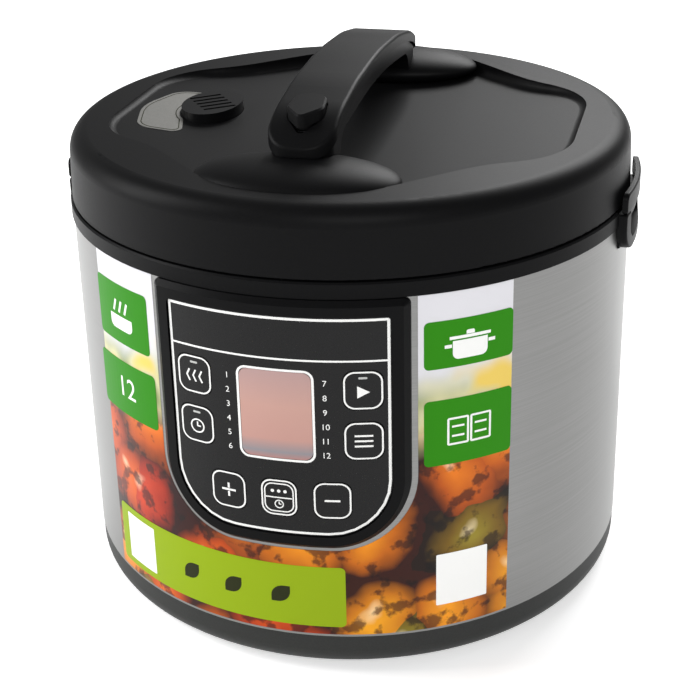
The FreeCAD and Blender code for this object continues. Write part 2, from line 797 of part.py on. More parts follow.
# Hinge at the back
hinge_y = s.shell_radius + s.hinge_reach
hinge_z = collar_top + 4.4
bracket_plate = common(
    tube(s.shell_radius + 0.1, s.shell_radius + 3.4, s.shell_top - 36, s.shell_top - 0.4),
    box((-36, 36), (80, 200), (0, 300)),
)
cheeks = []
for low, high in ((-33, -25), (25, 33)):
    cheek_deep = (collar_radius + 0.5, hinge_y + s.hinge_knuckle)
    cheeks.append(box((low, high), cheek_deep, (s.shell_top - 30, hinge_z)))
    cheeks.append(cylinder(s.hinge_knuckle, 8, low, hinge_y, hinge_z, axis="X"))
    web_deep = (s.shell_radius - 4, collar_radius + 1)
    cheeks.append(box((low, high), web_deep, (s.shell_top - 30, s.shell_top - 4)))
rear_cut = cylinder(s.shell_radius + 0.1, 300, 0, 0, 0)
pin_hole = cylinder(s.hinge_pin + s.pin_gap, 200, -100, hinge_y, hinge_z, axis="X")
plate_spots = [(x, z) for x in (-14, 14) for z in (s.shell_top - 28, s.shell_top - 12)]
plate_bores = [cylinder(1.8, 40, x, s.shell_radius - 20, z, axis="Y") for x, z in plate_spots]
piece("hinge_bracket", cut(fuse(bracket_plate, *cheeks), rear_cut, pin_hole, *plate_bores))
screws = []
for x, z in plate_spots:
    head = cylinder(3, 1.6, x, s.shell_radius + 3.2, z, axis="Y")
    screws.append(fuse(head, cylinder(1.6, 4, x, s.shell_radius - 0.4, z, axis="Y")))
piece("hinge_screws", group(screws))
pin_rod = cylinder(s.hinge_pin, 70, -35, hinge_y, hinge_z, axis="X")
pin_head = cylinder(s.hinge_pin + 1.2, 1.6, 33.2, hinge_y, hinge_z, axis="X")
piece("hinge_pin", fuse(pin_rod, pin_head))
spring = coil(s.hinge_pin + 1.2, 0.7, -9, 9, 9)
place(spring, 0, hinge_y, hinge_z, TURNS["X"])
piece("lid_spring", spring)

# Lid
lid_blank = turned(
    (0, lid_bottom),
    (s.shell_radius, lid_bottom, 0.8),
    (s.shell_radius - 1, lid_bottom + s.lid_height - 0.2, s.lid_round),
    (0, lid_bottom + s.lid_height + s.lid_crown),
)
half_dish = [(44, 107), (80, 71, 80), (116, 52, 42)]
dish_corners = []
for side_x, side_y, order in ((1, -1, 1), (1, 1, -1), (-1, 1, 1), (-1, -1, -1)):
    for corner in half_dish[::order]:
        scale = s.shell_radius / 141
        dish_corners.append((side_x * corner[0] * scale, side_y * corner[1] * scale) + corner[2:])
dish_prism = padded("XY_Plane", lid_bottom + 12, 60, *dish_corners)
dish_bow = cylinder(s.dish_bend, 400, 0, -200, dish_floor + s.dish_bend, axis="Y")
dome_z = lid_bottom + s.lid_height - 1.7


def domes(shrink_x, shrink_y, shrink_z, drop):
    """The two mounds under the handle's feet, or their hollows."""
    eggs = []
    for side in (-1, 1):
        eggs.append(ellipsoid(
            s.dome_half_width - shrink_x, s.dome_half_depth - shrink_y, s.dome_rise - shrink_z + drop,
            0, side * s.dome_offset, dome_z - drop,
        ))
    return eggs


def on_dish_floor(edge):
    """Whether an edge runs round the floor of the lid's hollow."""
    axis = dim(dish_floor + s.dish_bend).number
    bend = s.dish_bend.number
    return all(abs(math.hypot(spot.X, spot.Z - axis) - bend) < 0.01 for spot in edge.Vertexes)


dish_cutter = eased("Fillet", common(dish_prism, dish_bow), 4, on_dish_floor)
lid_form = fuse(cut(lid_blank, dish_cutter), *domes(0, 0, 0, 0))
lid_inside = turned(
    (0, lid_bottom - 1),
    (s.shell_radius - s.lid_wall, lid_bottom - 1),
    (s.shell_radius - 1 - s.lid_wall, lid_bottom + s.lid_height - s.lid_wall, s.lid_round - s.lid_wall),
    (s.shell_radius - 22, lid_bottom + s.lid_height - s.lid_wall, 2),
    (s.shell_radius - 28, lid_ceiling, 2),
    (0, lid_ceiling),
)
frame_top = lid_bottom + 10.3
lid_screw_spots = around(s.shell_radius - 46, (42, 138, 222, 318))
handle_bolt_spots = [(0, s.dome_offset - 12), (9, -s.dome_offset + 8), (-9, -s.dome_offset + 8)]
bosses = [cylinder(4, lid_ceiling - frame_top + 1.2, x, y, frame_top) for x, y in lid_screw_spots]
bosses += [cylinder(4, dome_z + 4 - lid_ceiling, x, y, lid_ceiling - 0.2) for x, y in handle_bolt_spots]
boss_bores = [cylinder(1.4 + s.pin_gap, 9, x, y, frame_top - 1) for x, y in lid_screw_spots]
knuckles = []
for low, high in ((-24.6, -12), (12, 24.6)):
    knuckles.append(cylinder(s.hinge_knuckle, high - low, low, hinge_y, hinge_z, axis="X"))
    web_high = (hinge_z - 3.4, hinge_z + s.hinge_knuckle)
    knuckles.append(box((low, high), (s.shell_radius - 4.5, hinge_y), web_high))
vent_x = -s.vent_x
vent_y = 3
vent_pocket = oval_prism(
    s.vent_half_width + gap, s.vent_half_length + gap, dish_floor - 0.3, dish_floor + 30, vent_x, vent_y)
barrel_hole = cylinder(s.vent_barrel + gap, 60, vent_x, vent_y, lid_bottom)
button_y = -s.dome_offset + 15
stem_hole = cylinder(3.2, 60, 0, button_y, lid_bottom)
bolt_holes = [cylinder(1.6 + s.pin_gap, 60, x, y, lid_bottom) for x, y in handle_bolt_spots]
lid_hollow = cut(lid_form, lid_inside, *domes(6, 6, 2.6, 8))
lid_tools = [pin_hole, vent_pocket, barrel_hole, stem_hole, *bolt_holes, *boss_bores]
knuckle_room = cylinder(s.shell_radius - s.lid_wall, 40, 0, 0, lid_bottom - 10)
knuckle_form = cut(fuse(*knuckles), knuckle_room)
lid_shell = cut(fuse(lid_hollow, *bosses, knuckle_form), *lid_tools)
piece("lid_shell", lid_shell)

# Lid frame with the latch bearings, inner lid and gasket
frame_low = lid_bottom + 1.8
frame_blank = turned(
    (0, frame_top - 2),
    (liner_radius - 5, frame_top - 2, 1),
    (liner_radius - 5, frame_low),
    (s.shell_radius - s.lid_wall - 0.5, frame_low),
    (s.shell_radius - s.lid_wall - 0.5, frame_low + 2.2),
    (liner_radius - 2.5, frame_low + 2.2),
    (liner_radius - 2.5, frame_top),
    (0, frame_top),
)
latch_y = -liner_radius + 5
latch_z = lid_bottom + 17.8
ears = [box((low, high), (latch_y - 3.5, latch_y + 3.5), (frame_top - 2, latch_z + 3.5))
        for low, high in ((-15.6, -12.6), (12.6, 15.6))]
latch_bore = cylinder(1.5 + s.pin_gap, 60, -30, latch_y, latch_z, axis="X")
hook_slot = box((-10.8, 10.8), (hook_y - 4.4, hook_y + 3.4), (frame_low - 2, frame_top + 2))
steam_hole = cylinder(6, 20, vent_x, vent_y, frame_low)
frame_bores = [cylinder(1.6, 20, x, y, frame_low) for x, y in lid_screw_spots]
piece("lid_frame", cut(fuse(frame_blank, *ears), latch_bore, hook_slot, steam_hole, *frame_bores))
piece("latch_pin", cylinder(1.5, 31.2, -15.6, latch_y, latch_z, axis="X"))
screws = []
for x, y in lid_screw_spots:
    head = cylinder(3, 1.6, x, y, frame_top - 3.6)
    screws.append(fuse(head, cylinder(1.4, 9, x, y, frame_top - 2.2)))
piece("lid_screws", group(screws))

plate_z = frame_top - 5.4
inner_lid_radius = s.pot_radius - 1.6
inner_blank = turned(
    (4.2, plate_z - 2), (60, plate_z - 2, 40), (80, plate_z, 40), (inner_lid_radius, plate_z),
    (inner_lid_radius, plate_z + 1.2), (80, plate_z + 1.2, 40), (60, plate_z - 0.8, 40), (4.2, plate_z - 0.8),
)
steam_spots = around(s.vent_x, (160, 168, 176, 184, 192, 200))
piece("inner_lid", cut(inner_blank, *[cylinder(2, 12, x, y, plate_z - 6) for x, y in steam_spots]))
piece("inner_lid_knob", turned(
    (0, plate_z - 5), (9, plate_z - 5, 1.5), (9, plate_z - 2.1), (4, plate_z - 2.1),
    (4, frame_top - 2.1), (0, frame_top - 2.1),
))
gasket_low = rim_top + gap
piece("lid_gasket", turned(
    (inner_lid_radius - 3, plate_z + 1.3), (inner_lid_radius - 3, frame_top - 2.1),
    (inner_lid_radius + 4.5, frame_top - 2.1), (inner_lid_radius + 4.5, gasket_low, 1),
    (inner_lid_radius + 1.5, gasket_low, 1), (inner_lid_radius + 0.1, plate_z - 1),
    (inner_lid_radius + 0.1, plate_z + 1.3),
))

# Steam vent cap that lifts out, its seal and the blank foil patch beside it
vent_top = dish_floor + 6.7
vent_disc = oval_prism(s.vent_half_width, s.vent_half_length, dish_floor - 0.1, vent_top, vent_x, vent_y)
vent_tilt = Rotation(Vector(0, 0, 1), 38)
vent_slots = []
for index in range(-2, 3):
    slot_box = doc.addObject("Part::Box", "slot_box")
    slot_box.Length = 17
    slot_box.Width = 2.2
    slot_box.Height = 8
    middle = vent_tilt.multVec(Vector(-8.5, 5.5 * index - 1.1, 0))
    place(slot_box, vent_x + middle.x, vent_y + middle.y, vent_top - 4, vent_tilt)
    vent_slots.append(slot_box)
barrel = cylinder(s.vent_barrel, dish_floor - frame_top - 1 + 0.5, vent_x, vent_y, frame_top + 1)
barrel_bore = cylinder(s.vent_barrel - 2, dish_floor - frame_top + 1, vent_x, vent_y, frame_top)
piece("steam_vent_cap", cut(fuse(vent_disc, barrel), barrel_bore, *vent_slots))
seal_ring = cut(cylinder(s.vent_barrel + 1, 0.8, vent_x, vent_y, frame_top),
                cylinder(6.2, 4, vent_x, vent_y, frame_top - 1))
piece("vent_seal", seal_ring)
foil_face = padded(
    "XY_Plane", lid_bottom + 12, 60,
    (vent_x - 6, 31, 5), (vent_x - 28, 29, 12), (vent_x - 37, -2, 40), (vent_x - 28, -34, 12),
    (vent_x - 3, -36, 5), (vent_x - 14, -2, 30),
)
foil_layer = cut(
    cylinder(s.dish_bend - 0.05, 400, 0, -200, dish_floor + s.dish_bend, axis="Y"),
    cylinder(s.dish_bend - 0.2, 402, 0, -201, dish_floor + s.dish_bend, axis="Y"),
)
foil_keepout = oval_prism(
    s.vent_half_width + 1.2, s.vent_half_length + 1.2, dish_floor - 5, dish_floor + 30, vent_x, vent_y)
piece("lid_foil", cut(common(foil_face, foil_layer), foil_keepout))

# Arched handle in two halves
arch_top = lid_bottom + s.handle_rise
half_length = s.handle_half_length


def arch_line(drop, length):
    """The upper line of the arch from front to back, lowered by a drop."""
    heights = ((-1.0, 20.0, None), (-0.82, 8.8, 60), (-0.46, 2.7, 150), (0, 0, 300),
               (0.46, 2.7, 150), (0.82, 8.8, 60), (1.0, 20.0, None))
    line = []
    for place_on, fall, rounding in heights:
        spot = (place_on * length, arch_top - fall - drop)
        line.append(spot if rounding is None else spot + (rounding,))
    return line


def plan_rounding(half_width, length, rounding):
    return rounded_plate(
        "XY_Plane", lid_bottom, 120, (-half_width, half_width), (-length, length), rounding)


cover_width = s.handle_half_width
cover_blank = padded(
    "YZ_Plane", -cover_width, cover_width * 2,
    *arch_line(0, half_length)[::-1], *arch_line(s.handle_cover, half_length),
)
core_width = s.handle_half_width - 1.5
core_length = half_length - 1.5
leg_foot = dome_z - 1
core_blank = padded(
    "YZ_Plane", -core_width, core_width * 2,
    *arch_line(s.handle_cover + 0.05, core_length)[::-1],
    (-core_length, leg_foot), (-core_length + 20, leg_foot),
    (-core_length + 25, arch_top - s.handle_thickness - 7, 10),
    (0, arch_top - s.handle_thickness, 400),
    (core_length - 25, arch_top - s.handle_thickness - 7, 10),
    (core_length - 20, leg_foot), (core_length, leg_foot),
)


def shield(spare):
    """The button's outline: round at the back, widest in the middle and pointed at the front."""
    wide = s.button_half_width + spare
    back = button_y + 16.5 + spare
    front = button_y - 8.5 - spare * 1.5
    middle = button_y + 1.5
    shoulder = wide - 1.5
    return [
        (-1 * shoulder, back, 6), (-wide, middle, 7), (dim(0), front, 3),
        (wide, middle, 7), (shoulder, back, 6),
    ]


button_prism_wide = padded(
    "XY_Plane", lid_bottom, 120,
    *shield(0.4),
)
well_low = arch_top - 24
pocket_side = padded(
    "YZ_Plane", -30, 60,
    (button_y - 12, arch_top - 18.3), (button_y + 20, arch_top - 10.2),
    (button_y + 20, arch_top + 20), (button_y - 12, arch_top + 20),
)
button_pocket = common(button_prism_wide, pocket_side)
spring_well = cylinder(5.2, 12, 0, button_y, well_low)
stem_guide = cylinder(2.5 + s.pin_gap, 60, 0, button_y, lid_bottom)
dome_clearance = domes(-gap, -gap, -gap, 0)
cover_form = common(cover_blank, plan_rounding(cover_width, half_length, 13))


def on_crown(edge):
    """Whether an edge runs round the top of the handle cover."""
    middle = edge.valueAt((edge.FirstParameter + edge.LastParameter) / 2)
    line = [(spot[0].number, spot[1].number) for spot in arch_line(0, half_length)]
    for (y_from, z_from), (y_to, z_to) in zip(line, line[1:]):
        if y_from - 0.01 <= middle.y <= y_to + 0.01:
            height = z_from + (z_to - z_from) * (middle.y - y_from) / (y_to - y_from)
            across = abs(middle.x) < 1 and abs(middle.y) < half_length.number - 1
            return middle.z > height - 3 and not across
    return False


cover_eased = eased("Fillet", cover_form, 1.8, on_crown)
piece("handle_cover", cut(cover_eased, button_pocket, spring_well, *dome_clearance))
core_form = common(core_blank, plan_rounding(core_width, core_length, 11))
bolt_bores = [cylinder(1.5 + s.pin_gap, 8.5, x, y, dome_z) for x, y in handle_bolt_spots]
piece("handle_core", cut(core_form, spring_well, stem_guide, *dome_clearance, *bolt_bores))
bolts = []
for x, y in handle_bolt_spots:
    head = cylinder(3, 1.6, x, y, lid_ceiling - 1.8)
    bolts.append(fuse(head, cylinder(1.5, dome_z + 8 - lid_ceiling, x, y, lid_ceiling - 0.5)))
piece("handle_screws", group(bolts))

# Release button with its spring, and the latch it drives
button_prism = padded(
    "XY_Plane", lid_bottom, 120,
    *shield(0),
)
button_side = padded(
    "YZ_Plane", -30, 60,
    (button_y - 10, arch_top - 13.9), (button_y + 18, arch_top - 6.6),
    (button_y + 18, arch_top - 3.2), (button_y - 10, arch_top - 7.4),
)
spring_seat = arch_top - 14.6
latch_arm_top = latch_z + 1.5
button_stem = cylinder(2.5, arch_top - 10 - latch_arm_top - 0.5, 0, button_y, latch_arm_top + 0.5)
button_boss = cylinder(4.7, 5, 0, button_y, spring_seat)


def on_button_face(edge):
    """Whether an edge runs round the button's sloping face."""
    start = dim(button_y).number - 10
    low = dim(arch_top).number - 7.4
    return all(abs(spot.Z - low - (spot.Y - start) * 4.2 / 28) < 0.01 for spot in edge.Vertexes)


button_cap = eased("Chamfer", common(button_prism, button_side), 0.8, on_button_face)
piece("release_button", fuse(button_cap, button_stem, button_boss))
spring = coil(3.8, 0.5, well_low + 0.1, spring_seat - 0.1, 4)
place(spring, 0, button_y, 0)
piece("button_spring", spring)

hook_low = collar_top - 5.4
latch_arm = box((-6, 6), (latch_y, button_y + 3), (latch_z - 1.5, latch_arm_top))
latch_hub = cylinder(3.6, 24, -12, latch_y, latch_z, axis="X")
latch_bridge = box((-9.8, 9.8), (hook_y - 1, latch_y), (latch_z - 2, latch_z + 2))
hook_shank = box((-9.8, 9.8), (hook_y - 1.2, hook_y + 0.7), (hook_low, latch_z + 2))
hook_tooth = box((-9.8, 9.8), (hook_y, hook_y + 2.7), (hook_low + 0.6, collar_top - 3))
piece("latch", cut(fuse(latch_arm, latch_hub, latch_bridge, hook_shank, hook_tooth), latch_bore))

doc.recompute()
for thing in doc.Objects:
    if "Invalid" in thing.State or "Error" in thing.State:
        print("trouble:", thing.Name, thing.Label, thing.State)
os.makedirs("parts", exist_ok=True)
for thing in pieces:
    shape = thing.Shape
    if shape.isNull() or not shape.isValid() or not shape.Solids:
        print("bad shape:", thing.Label)
        continue
    shape.exportStep("parts/%s.step" % thing.Label)
print("pieces:", len(pieces))
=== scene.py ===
import math

import bmesh
import bpy
from mathutils import Matrix, Vector


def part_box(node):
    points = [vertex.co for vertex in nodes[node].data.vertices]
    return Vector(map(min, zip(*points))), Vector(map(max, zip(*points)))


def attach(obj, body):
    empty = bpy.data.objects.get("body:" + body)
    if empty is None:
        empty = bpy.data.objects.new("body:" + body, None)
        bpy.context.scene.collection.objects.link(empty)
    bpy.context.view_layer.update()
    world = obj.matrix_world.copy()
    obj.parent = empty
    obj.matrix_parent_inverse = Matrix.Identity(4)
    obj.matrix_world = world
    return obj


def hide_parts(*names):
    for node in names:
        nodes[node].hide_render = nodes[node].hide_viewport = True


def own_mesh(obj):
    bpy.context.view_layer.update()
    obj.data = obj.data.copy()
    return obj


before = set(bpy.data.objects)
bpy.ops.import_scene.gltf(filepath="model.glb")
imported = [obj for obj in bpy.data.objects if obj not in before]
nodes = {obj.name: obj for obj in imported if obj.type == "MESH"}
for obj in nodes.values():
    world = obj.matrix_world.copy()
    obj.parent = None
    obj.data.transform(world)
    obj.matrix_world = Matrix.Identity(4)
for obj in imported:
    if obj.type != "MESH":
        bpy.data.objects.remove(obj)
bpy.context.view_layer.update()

# Sizes in metres, heights above the table

MM = 0.001
INK = 0.05 * MM
STRIP = 3 * MM
SAME_PLACE = 1e-6
ON_CUT = 1e-7

# Radii of the surfaces that carry print, from the widest shell and the foremost overlay points
SHELL_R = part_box("outer_shell")[1].x
FILM_R = SHELL_R + 0.08 * MM
OVERLAY_R = -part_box("panel_overlay")[0].y
KEY_R = OVERLAY_R + 0.15 * MM

# Printed film and the bare strip between it and the bezel
FILM_HALF_ANGLE = math.radians(44.4)
FILM_MARGIN = 2.6 * MM
FILM_CORNER = 38 * MM
FILM_SEAT_R = FILM_R - 0.1 * MM
FILM_THICK = 0.08 * MM
FILM_STRIP = 2 * MM

# The shell's window behind the panel
WINDOW_EDGE = 52 * MM
WINDOW_LOW = 79.5 * MM
SHEET = 0.4 * MM

# Tags on the film
TAG_CORNER = 2.4 * MM
SQUARE_CORNER = 0.6 * MM

# Pictures on the film: sizes of the patterns, then heights where they run into haze and white
FORM_SIZE = 35 * MM
WARP_SIZE = 35.7 * MM
WARP_SHARE = 0.022
SPECK_SIZE = 10.53 * MM
HAZE_SIZE = 23.81 * MM
HAZE_WAVE = 30 * MM
HAZE_FROM, HAZE_TO = 99 * MM, 118 * MM
WHITE_FROM, WHITE_TO = 129 * MM, 148 * MM

# Panel print
FRAME_LINE = 1.2 * MM
FRAME_CORNERS = (28 * MM, 28 * MM, 0.6 * MM, 0.6 * MM)
CROSS_LINE = 0.9 * MM
CROSS_LINE_DROP = 20.8 * MM
CROSS_LINE_GAP = 3 * MM
DISPLAY_LINE = 1.1 * MM
DISPLAY_GAP = 2.6 * MM
DISPLAY_CORNER = 4.6 * MM
NUMBER_ROWS = 6
NUMBER_GAP = 5.9 * MM
NUMBER_DROP = 4.85 * MM
NUMBER_PITCH = 7.2 * MM
NUMBER_HEIGHT = 2.9 * MM
FONT_PER_DIGIT = 1.4

# Key print
KEY_WIDTH, KEY_HEIGHT = 16.8 * MM, 18.4 * MM
KEY_CORNER = 5 * MM
KEY_LINE = 0.75 * MM
LAMP_WIDTH, LAMP_HEIGHT = 3.8 * MM, 1.0 * MM
LAMP_CORNER = 0.4 * MM
LAMP_RISE = 6.1 * MM
STROKE = 1.0 * MM

# Studio
FLOOR_HALF = 6.0
FLOOR_GLOW = 0.46
STUDIO_GLOW = 0.32

# The photograph's viewpoint, fitted to the measured rims of the body and lid
CAMERA_TURN = math.radians(14.52)
CAMERA_RISE = math.radians(22.78)
CAMERA_ROLL = math.radians(-1.26)
CAMERA_DISTANCE = 0.7896
CAMERA_AIM = Vector((-0.00165, 0, 0.15187))
CAMERA_SHIFT = -0.12
CAMERA_NEAR = 10 * MM
SENSOR_MM = 36
FOCAL_PX = 1500
PHOTO_PX = 700

# Node kinds
PLACE = "ShaderNodeTexCoord"
SPLIT = "ShaderNodeSeparateXYZ"
NOISE = "ShaderNodeTexNoise"
CELLS = "ShaderNodeTexVoronoi"
RANGE = "ShaderNodeMapRange"
RAMP = "ShaderNodeValToRGB"
MATHS = "ShaderNodeMath"
MIX = "ShaderNodeMix"

# The Mix node's sockets for vectors and for colours, which share their names
VECTOR_A, VECTOR_B, VECTOR_OUT = 4, 5, 1
COLOUR_A, COLOUR_B, COLOUR_OUT = 6, 7, 2


# Colour and node helpers

def colour(hex_code):
    """A linear colour from an sRGB hex value."""
    parts = [int(hex_code[i:i + 2], 16) / 255 for i in (1, 3, 5)]
    linear = [c / 12.92 if c <= 0.04045 else ((c + 0.055) / 1.055) ** 2.4 for c in parts]
    return (*linear, 1.0)


def add(tree, kind, links=None, stops=(), **settings):
    """Adds a node, sets its properties, fills its sockets with values or links, and a ramp's stops."""
    node = tree.nodes.new(kind)
    for name, value in settings.items():
        setattr(node, name, value)
    for name, value in (links or {}).items():
        socket = node.inputs[name]
        if isinstance(value, bpy.types.NodeSocket):
            tree.links.new(value, socket)
        else:
            socket.default_value = value
    if stops:
        elements = node.color_ramp.elements
        while len(elements) < len(stops):
            elements.new(0.5)
        for element, (position, hex_code) in zip(elements, stops):
            element.position = position
            element.color = colour(hex_code)
    return node


def material(name, base, rough=0.5, metal=0.0, **sockets):
    """A Principled material. Further sockets are named with underscores for spaces."""
    made = bpy.data.materials.new(name)
    made.use_nodes = True
    shader = made.node_tree.nodes["Principled BSDF"]
    shader.inputs["Base Color"].default_value = colour(base)
    shader.inputs["Roughness"].default_value = rough
    shader.inputs["Metallic"].default_value = metal
    for socket, value in sockets.items():
        shader.inputs[socket.replace("_", " ")].default_value = value
    return made, made.node_tree, shader


def grain(tree, shader, size_mm, height_mm, rough, stretch=(1, 1, 1)):
    """Noise of a real grain size that varies the roughness and lifts the surface."""
    low, high = rough
    place = add(tree, PLACE).outputs["Object"]
    scale = tuple(1 / (size_mm * MM) * share for share in stretch)
    spread = add(tree, "ShaderNodeMapping", {"Vector": place, "Scale": scale}).outputs[0]
    noise = add(tree, NOISE, {"Vector": spread, "Scale": 1.0, "Detail": 3.0}).outputs[0]
    varied = add(tree, RANGE, {"Value": noise, "To Min": low, "To Max": high})
    tree.links.new(varied.outputs[0], shader.inputs["Roughness"])
    bump = add(
        tree, "ShaderNodeBump", {"Height": noise, "Distance": height_mm * MM, "Strength": 0.5},
    )
    tree.links.new(bump.outputs[0], shader.inputs["Normal"])
    return noise


def tinted(tree, shader, factor, low, high):
    """Small colour variation that follows a grain."""
    tint = add(tree, RAMP, {"Fac": factor}, stops=((0.3, low), (0.7, high)))
    tree.links.new(tint.outputs["Color"], shader.inputs["Base Color"])


# Finishes

def moulded(name, base, shades, rough, size_mm=0.9, gloss=0.2):
    """A moulded or coated skin: a fine grain under a soft sheen, drawn coarse enough to show."""
    made, tree, shader = material(name, base, Specular_IOR_Level=gloss)
    noise = grain(tree, shader, size_mm, height_mm=0.05, rough=rough)
    tinted(tree, shader, noise, *shades)
    return made


def metal(name, base, shades, rough, size_mm, stretch=(1, 1, 1), height_mm=0.01):
    """Bare or plated metal, whose grain is stretched along the way it was worked."""
    made, tree, shader = material(name, base, metal=1.0)
    noise = grain(tree, shader, size_mm, height_mm, rough, stretch)
    tinted(tree, shader, noise, *shades)
    return made


# ABS from an eroded mould: an even, dull black with only a weak sheen
lid_abs = moulded("matt_black_abs", "#0c0c0d", ("#0b0b0c", "#0e0e0f"), (0.42, 0.50), gloss=0.08)
# ABS from a smoother mould: as black, with a slightly sharper sheen
trim_abs = moulded("satin_black_abs", "#0b0b0c", ("#0a0a0b", "#0d0d0e"), (0.36, 0.46), gloss=0.07)
# ABS dyed through: a lighter charcoal that sets the base off from the black
base_abs = moulded("charcoal_abs", "#2a2b2a", ("#272827", "#2e2f2e"), (0.46, 0.58))
# Moulded nylon: dull dark grey
inner_nylon = moulded("black_nylon", "#1c1c1d", ("#1a1a1b", "#1f1f20"), (0.5, 0.62))
# Solder mask on a glass-fibre board: deep green with a lacquer's sheen
solder_mask = moulded("solder_mask", "#1d5a30", ("#1a522b", "#206236"), (0.3, 0.42))
# Epoxy moulded round electronic parts: dull near-black
epoxy = moulded("moulded_epoxy", "#202022", ("#1d1d1f", "#252527"), (0.45, 0.6))
# Moulded rubber: black without a sheen
black_rubber = moulded("black_rubber", "#171717", ("#151515", "#1b1b1b"), (0.75, 0.88), 1.4)
# Moulded silicone: pale and waxy
pale_silicone = moulded("pale_silicone", "#c9c8c3", ("#c4c3be", "#cfcec9"), (0.5, 0.62), 1.6)
# Sprayed and baked non-stick coating: dark, slightly brown, faintly mottled
coating = moulded("non_stick_coating", "#3a3836", ("#343230", "#42403d"), (0.35, 0.5), 1.2)

# Stainless sheet brushed round the body: level lines and a broad upright shine
steel = metal(
    "brushed_stainless", "#838382", ("#7e7e7d", "#888887"), (0.30, 0.40), 0.5, stretch=(0.006, 0.006, 1.0),
)
# Zinc-coated sheet: cool grey with cloudy patches
zinc = metal("zinc_sheet", "#b4b7ba", ("#a9acb0", "#bcbfc2"), (0.35, 0.5), 6.0)
# Cast aluminium: pale, with a coarse skin
cast = metal("cast_aluminium", "#b9b9b8", ("#aeaead", "#c3c3c2"), (0.42, 0.6), 1.2, height_mm=0.06)
# Satin aluminium sheet: fine straight lines and a soft shine
satin = metal("satin_aluminium", "#a6a6a7", ("#9f9fa0", "#adadae"), (0.3, 0.42), 0.6, stretch=(0.05, 1, 1))
# Nickel-plated steel: an even, bright grey
plated = metal("plated_steel", "#8c8c8b", ("#848483", "#949493"), (0.26, 0.38), 2.0)
# Phosphated spring wire: nearly black and dull
phosphated = metal("phosphated_steel", "#222223", ("#1e1e1f", "#272728"), (0.5, 0.64), 1.0)
# Turned brass: warm yellow
brass = metal("brass", "#c9a24e", ("#c09947", "#d1aa57"), (0.25, 0.38), 2.0)
# Rolled label foil: a pale warm grey with a faint streak
foil = metal("label_foil", "#a3a29e", ("#9c9b97", "#aaa9a5"), (0.32, 0.42), 0.6, stretch=(1, 0.3, 1))


def overlay_finish():
    """Printed polyester overlay: black ink under a smooth, slightly glossy face."""
    made, tree, shader = material("overlay_polyester", "#0b0b0c", Specular_IOR_Level=0.22)
    noise = grain(tree, shader, size_mm=0.7, height_mm=0.006, rough=(0.24, 0.32))
    tinted(tree, shader, noise, "#0a0a0b", "#0d0d0e")
    return made


def window_finish():
    """Protective film on the display: dusty pink, with a grey-blue band at its lower end."""
    made, tree, shader = material("window_film", "#be9187", rough=0.3, Specular_IOR_Level=0.25)
    z = add(tree, SPLIT, {"Vector": add(tree, PLACE).outputs["Object"]}).outputs["Z"]
    low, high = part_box("display_window")
    along = add(tree, RANGE, {"Value": z, "From Min": low.z, "From Max": high.z}).outputs[0]
    tone = add(tree, RAMP, {"Fac": along}, stops=(
        (0.0, "#ab7d78"), (0.07, "#8b878c"), (0.12, "#9d8989"),
        (0.22, "#bc9086"), (0.6, "#c0968b"), (1.0, "#b0918e"),
    ))
    tree.links.new(tone.outputs["Color"], shader.inputs["Base Color"])
    return made


def vegetable_colours(tree, uv):
    """Rounded forms in warm colours, each with a highlight, and dark roasted bits over them."""
    warp = add(tree, NOISE, {"Vector": uv, "Scale": 1 / WARP_SIZE, "Detail": 3.0}, noise_dimensions="2D")
    pushed = add(
        tree, MIX, {"Factor": WARP_SHARE, VECTOR_A: uv, VECTOR_B: warp.outputs["Color"]},
        data_type="VECTOR",
    ).outputs[VECTOR_OUT]
    form = {"Scale": 1 / FORM_SIZE, "Randomness": 0.85}
    cells = add(tree, CELLS, {"Vector": pushed, **form}, voronoi_dimensions="2D", feature="F1")
    pick = add(tree, "ShaderNodeSeparateColor", {"Color": cells.outputs["Color"]}).outputs[0]
    hue = add(tree, RAMP, {"Fac": pick}, stops=(
        (0.0, "#c4330f"), (0.28, "#e0650f"), (0.5, "#ef8f16"),
        (0.68, "#f4b71f"), (0.84, "#d9490f"), (1.0, "#8c8a2a"),
    ))
    shade = add(tree, RAMP, {"Fac": cells.outputs["Distance"]}, stops=(
        (0.05, "#fbf0e2"), (0.38, "#c9a684"), (0.64, "#341708"),
    ))
    body = add(
        tree, MIX, {"Factor": 1.0, COLOUR_A: hue.outputs["Color"], COLOUR_B: shade.outputs["Color"]},
        data_type="RGBA", blend_type="MULTIPLY",
    ).outputs[COLOUR_OUT]
    # The highlights are the same forms, moved sideways and up
    raised = add(tree, "ShaderNodeVectorMath", {0: pushed, 1: (3 * MM, -5 * MM, 0)}, operation="ADD")
    tops = add(tree, CELLS, {"Vector": raised.outputs[0], **form}, voronoi_dimensions="2D", feature="F1")
    gleam = add(tree, RAMP, {"Fac": tops.outputs["Distance"]}, stops=((0.02, "#b8a68c"), (0.13, "#000000")))
    lit = add(
        tree, MIX, {"Factor": 1.0, COLOUR_A: body, COLOUR_B: gleam.outputs["Color"]},
        data_type="RGBA", blend_type="SCREEN",
    ).outputs[COLOUR_OUT]
    bits = add(tree, NOISE, {"Vector": uv, "Scale": 1 / SPECK_SIZE, "Detail": 4.0}, noise_dimensions="2D")
    speck = add(tree, RAMP, {"Fac": bits.outputs[0]}, stops=((0.37, "#3a1a0a"), (0.46, "#ffffff")))
    return add(
        tree, MIX, {"Factor": 0.75, COLOUR_A: lit, COLOUR_B: speck.outputs["Color"]},
        data_type="RGBA", blend_type="MULTIPLY",
    ).outputs[COLOUR_OUT]


